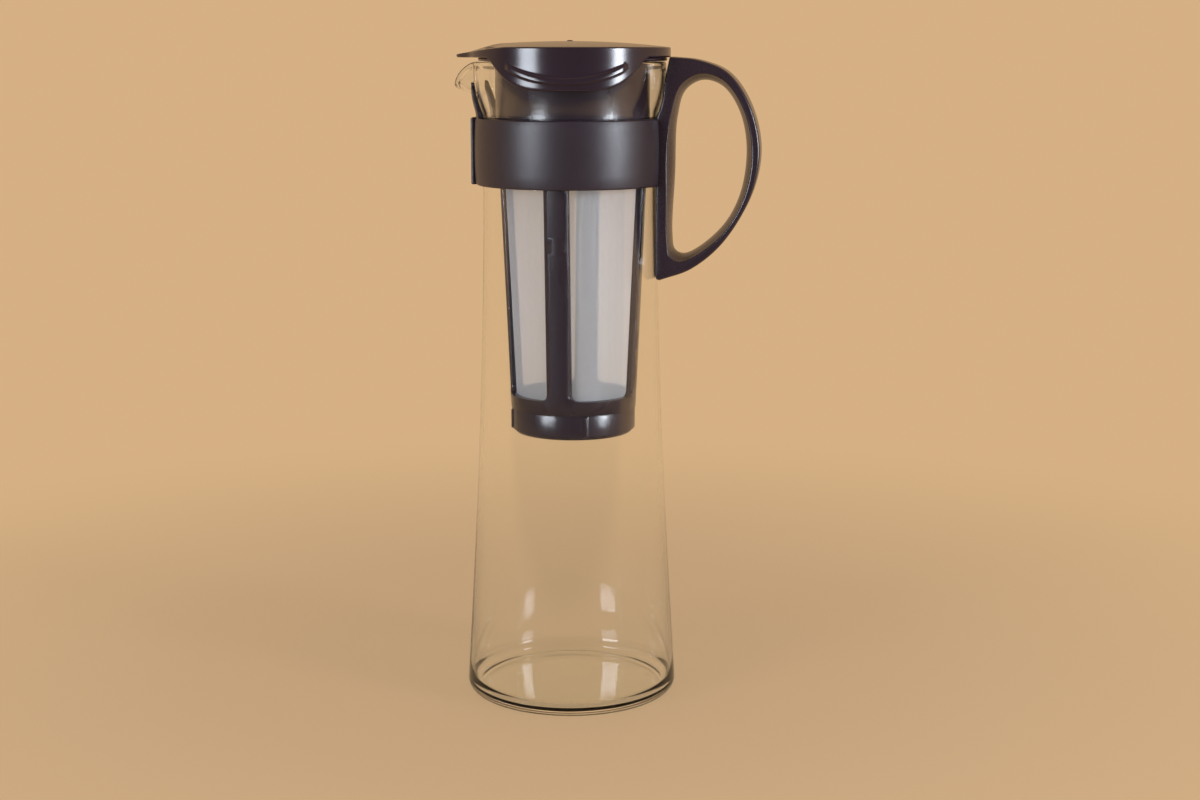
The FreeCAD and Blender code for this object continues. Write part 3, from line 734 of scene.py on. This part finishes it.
def filter_cloth():
    """White gauze: threads both ways, light through the cloth and clear gaps between threads."""
    material, nodes, links, cloth = new_material("filter_cloth")
    cloth.inputs["Roughness"].default_value = 0.55
    cloth.inputs["Sheen Weight"].default_value = 0.15
    uv = nodes.new("ShaderNodeUVMap")
    uv.uv_map = "weave"
    turns = 2 * math.pi * cloth_top_radius / thread_pitch
    rows = (cloth_top - cloth_bottom) / thread_pitch
    mapping = nodes.new("ShaderNodeMapping")
    mapping.inputs["Scale"].default_value = (turns, rows, 1)
    links.new(uv.outputs[0], mapping.inputs["Vector"])
    parts = nodes.new("ShaderNodeSeparateXYZ")
    links.new(mapping.outputs[0], parts.inputs[0])
    tree = material.node_tree
    waves = [math_node(tree, "SINE", math_node(tree, "MULTIPLY", side, math.pi))
             for side in parts.outputs[:2]]
    threads = [math_node(tree, "ABSOLUTE", wave) for wave in waves]
    weave = math_node(tree, "MAXIMUM", *threads)
    clouds = object_noise(nodes, links, scale=30, stretch=(1, 1, 0.35), detail=3.0)
    tone = nodes.new("ShaderNodeMix")
    tone.data_type = "RGBA"
    tone.inputs[6].default_value = cloth_shaded
    tone.inputs[7].default_value = cloth_lit
    links.new(clouds.outputs["Fac"], tone.inputs["Factor"])
    links.new(tone.outputs[2], cloth.inputs["Base Color"])
    bump = nodes.new("ShaderNodeBump")
    bump.inputs["Strength"].default_value = 0.3
    bump.inputs["Distance"].default_value = 0.05 * mm
    links.new(weave, bump.inputs["Height"])
    links.new(bump.outputs["Normal"], cloth.inputs["Normal"])
    glow = nodes.new("ShaderNodeBsdfTranslucent")
    links.new(tone.outputs[2], glow.inputs["Color"])
    lit = nodes.new("ShaderNodeMixShader")
    lit.inputs["Fac"].default_value = light_through
    links.new(cloth.outputs["BSDF"], lit.inputs[1])
    links.new(glow.outputs["BSDF"], lit.inputs[2])
    gap = nodes.new("ShaderNodeBsdfTransparent")
    openness = nodes.new("ShaderNodeMapRange")
    openness.inputs["To Min"].default_value = 1.0
    openness.inputs["To Max"].default_value = 0.32
    links.new(weave, openness.inputs["Value"])
    open_cloth = nodes.new("ShaderNodeMixShader")
    links.new(openness.outputs["Result"], open_cloth.inputs["Fac"])
    links.new(lit.outputs["Shader"], open_cloth.inputs[1])
    links.new(gap.outputs["BSDF"], open_cloth.inputs[2])
    links.new(open_cloth.outputs["Shader"], nodes["Material Output"].inputs["Surface"])
    return material


cloth_material = filter_cloth()
sleeve_mesh = grown_mesh("sleeve", *sleeve_tree(cloth_material))
sleeve_skin = bmesh.new()
sleeve_skin.from_mesh(sleeve_mesh)
bmesh.ops.remove_doubles(sleeve_skin, verts=sleeve_skin.verts, dist=merge_distance)
bmesh.ops.recalc_face_normals(sleeve_skin, faces=sleeve_skin.faces)
sleeve = finished_piece("filter_sleeve", sleeve_skin, cloth_material)
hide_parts("filter_mesh")
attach(sleeve, "strainer")


# Strainer cap. A shallow moulded cup that closes the strainer from below and turns on three
# bayonet lugs, with small upright ribs around it to grip.
cap = moulded_copy("bayonet_cap", "strainer_cap", strainer_plastic)
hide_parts("strainer_cap")
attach(cap, "cap")


# Photo studio. A pale sand paper floor that fades far off into a backdrop of the same colour, two
# soft boxes in front at left and right, and soft light from all around.
paper = (0.67, 0.435, 0.232, 1)
floor_half = 4.0
fade_start = 0.08
fade_end = 0.6
studio_dimness = 0.07
ambient_strength = 0.5
room_light = (1.0, 0.97, 0.94, 1)
soft_box_light = (0.84, 0.90, 1.0)
box_distance = 1.8
box_height = 0.68
box_bottom = 0.10
box_aim_height = 0.2
camera_place = (0.1159, -0.8351, 0.293)
camera_lens = 56.4
camera_turn = math.radians(7)
camera_dip = math.radians(10.6)


def seen_rays(tree):
    """One where a ray shows the background, to the camera, in gloss or through glass, and else zero."""
    path = tree.nodes.new("ShaderNodeLightPath").outputs
    shown = math_node(tree, "MAXIMUM", path["Is Camera Ray"], path["Is Glossy Ray"])
    shown = math_node(tree, "MAXIMUM", shown, path["Is Transmission Ray"])
    return math_node(tree, "MULTIPLY", shown, math_node(tree, "LESS_THAN", path["Diffuse Depth"], 0.5))


def mirrored_front(tree, direction, start, end):
    """One for mirrored rays that end in front of the jug, easing in between two places on Y."""
    side = tree.nodes.new("ShaderNodeSeparateXYZ")
    tree.links.new(direction, side.inputs[0])
    front = tree.nodes.new("ShaderNodeMapRange")
    front.interpolation_type = "SMOOTHSTEP"
    front.inputs["From Min"].default_value = start
    front.inputs["From Max"].default_value = end
    tree.links.new(side.outputs[1], front.inputs["Value"])
    path = tree.nodes.new("ShaderNodeLightPath").outputs
    mirrored = math_node(tree, "GREATER_THAN", path["Glossy Depth"], 0.5)
    return math_node(tree, "MULTIPLY", front.outputs["Result"], mirrored)


def paper_floor():
    """Matt paper, which fades into the backdrop far from the object."""
    material, nodes, links, sheet = new_material("paper_floor")
    sheet.inputs["Base Color"].default_value = paper
    sheet.inputs["Roughness"].default_value = 0.9
    sheet.inputs["Specular IOR Level"].default_value = 0.1
    place = nodes.new("ShaderNodeTexCoord")
    length = nodes.new("ShaderNodeVectorMath")
    length.operation = "LENGTH"
    links.new(place.outputs["Object"], length.inputs[0])
    fade = nodes.new("ShaderNodeMapRange")
    fade.interpolation_type = "SMOOTHSTEP"
    fade.inputs["From Min"].default_value = fade_start
    fade.inputs["From Max"].default_value = fade_end
    links.new(length.outputs["Value"], fade.inputs["Value"])
    tree = material.node_tree
    share = math_node(tree, "MULTIPLY", fade.outputs["Result"], seen_rays(tree))
    # Painted dark reflection: seen in gloss, the floor in front of the jug shows this dim glow instead of
    # the lit paper.
    dim = nodes.new("ShaderNodeEmission")
    dim.inputs["Color"].default_value = room_light
    dim.inputs["Strength"].default_value = studio_dimness
    table = nodes.new("ShaderNodeMixShader")
    links.new(mirrored_front(tree, place.outputs["Object"], start=-0.2, end=-0.45), table.inputs["Fac"])
    glow = nodes.new("ShaderNodeEmission")
    glow.inputs["Color"].default_value = paper
    mix = nodes.new("ShaderNodeMixShader")
    links.new(share, mix.inputs["Fac"])
    links.new(sheet.outputs["BSDF"], mix.inputs[1])
    links.new(glow.outputs["Emission"], mix.inputs[2])
    links.new(mix.outputs["Shader"], table.inputs[1])
    links.new(dim.outputs["Emission"], table.inputs[2])
    links.new(table.outputs["Shader"], nodes["Material Output"].inputs["Surface"])
    return material


floor_mesh = bpy.data.meshes.new("studio_floor")
floor_corners = [(side * floor_half, depth * floor_half, 0)
                 for side, depth in ((-1, -1), (1, -1), (1, 1), (-1, 1))]
floor_mesh.from_pydata(floor_corners, [], [(0, 1, 2, 3)])
floor_mesh.materials.append(paper_floor())
floor = bpy.data.objects.new("studio_floor", floor_mesh)
bpy.context.scene.collection.objects.link(floor)

# The backdrop stands behind the jug, so that gloss shows it there and the dim studio in front.
world = bpy.data.worlds.new("studio_air")
bpy.context.scene.world = world
world.use_nodes = True
air, air_links = world.node_tree.nodes, world.node_tree.links
ambient = air["Background"]
ambient.inputs["Color"].default_value = room_light
ambient.inputs["Strength"].default_value = ambient_strength
backdrop = air.new("ShaderNodeBackground")
backdrop.inputs["Color"].default_value = paper
backdrop.inputs["Strength"].default_value = 1.0
choice = air.new("ShaderNodeMixShader")
air_links.new(seen_rays(world.node_tree), choice.inputs["Fac"])
air_links.new(ambient.outputs[0], choice.inputs[1])
air_links.new(backdrop.outputs[0], choice.inputs[2])
studio = air.new("ShaderNodeBackground")
studio.inputs["Color"].default_value = room_light
studio.inputs["Strength"].default_value = studio_dimness
direction = air.new("ShaderNodeTexCoord").outputs["Generated"]
surround = air.new("ShaderNodeMixShader")
air_links.new(mirrored_front(world.node_tree, direction, start=0.1, end=-0.5), surround.inputs["Fac"])
air_links.new(choice.outputs[0], surround.inputs[1])
air_links.new(studio.outputs[0], surround.inputs[2])
air_links.new(surround.outputs[0], air["World Output"].inputs["Surface"])


def soft_box(name, turn, width, power):
    """A soft box aimed at the jug; the turn is measured from straight in front."""
    lamp = bpy.data.lights.new(name, "AREA")
    lamp.shape = "RECTANGLE"
    lamp.size = width
    lamp.size_y = box_height
    lamp.energy = power
    lamp.color = soft_box_light
    box = bpy.data.objects.new(name, lamp)
    middle = box_bottom + box_height / 2
    box.location = (box_distance * math.sin(turn), -box_distance * math.cos(turn), middle)
    aim = Vector((0, 0, box_aim_height)) - box.location
    box.rotation_euler = aim.to_track_quat("-Z", "Y").to_euler()
    bpy.context.scene.collection.objects.link(box)


soft_box("left_soft_box", turn=math.radians(-40), width=0.62, power=26)
soft_box("right_soft_box", turn=math.radians(64), width=0.40, power=34)

camera_data = bpy.data.cameras.new("photo_camera")
camera_data.sensor_width = 36
camera_data.lens = camera_lens
camera = bpy.data.objects.new("photo_camera", camera_data)
camera.location = camera_place
camera.rotation_euler = (math.pi / 2 - camera_dip, 0, camera_turn)
bpy.context.scene.collection.objects.link(camera)
bpy.context.scene.camera = camera
bpy.context.scene.view_settings.view_transform = "Standard"
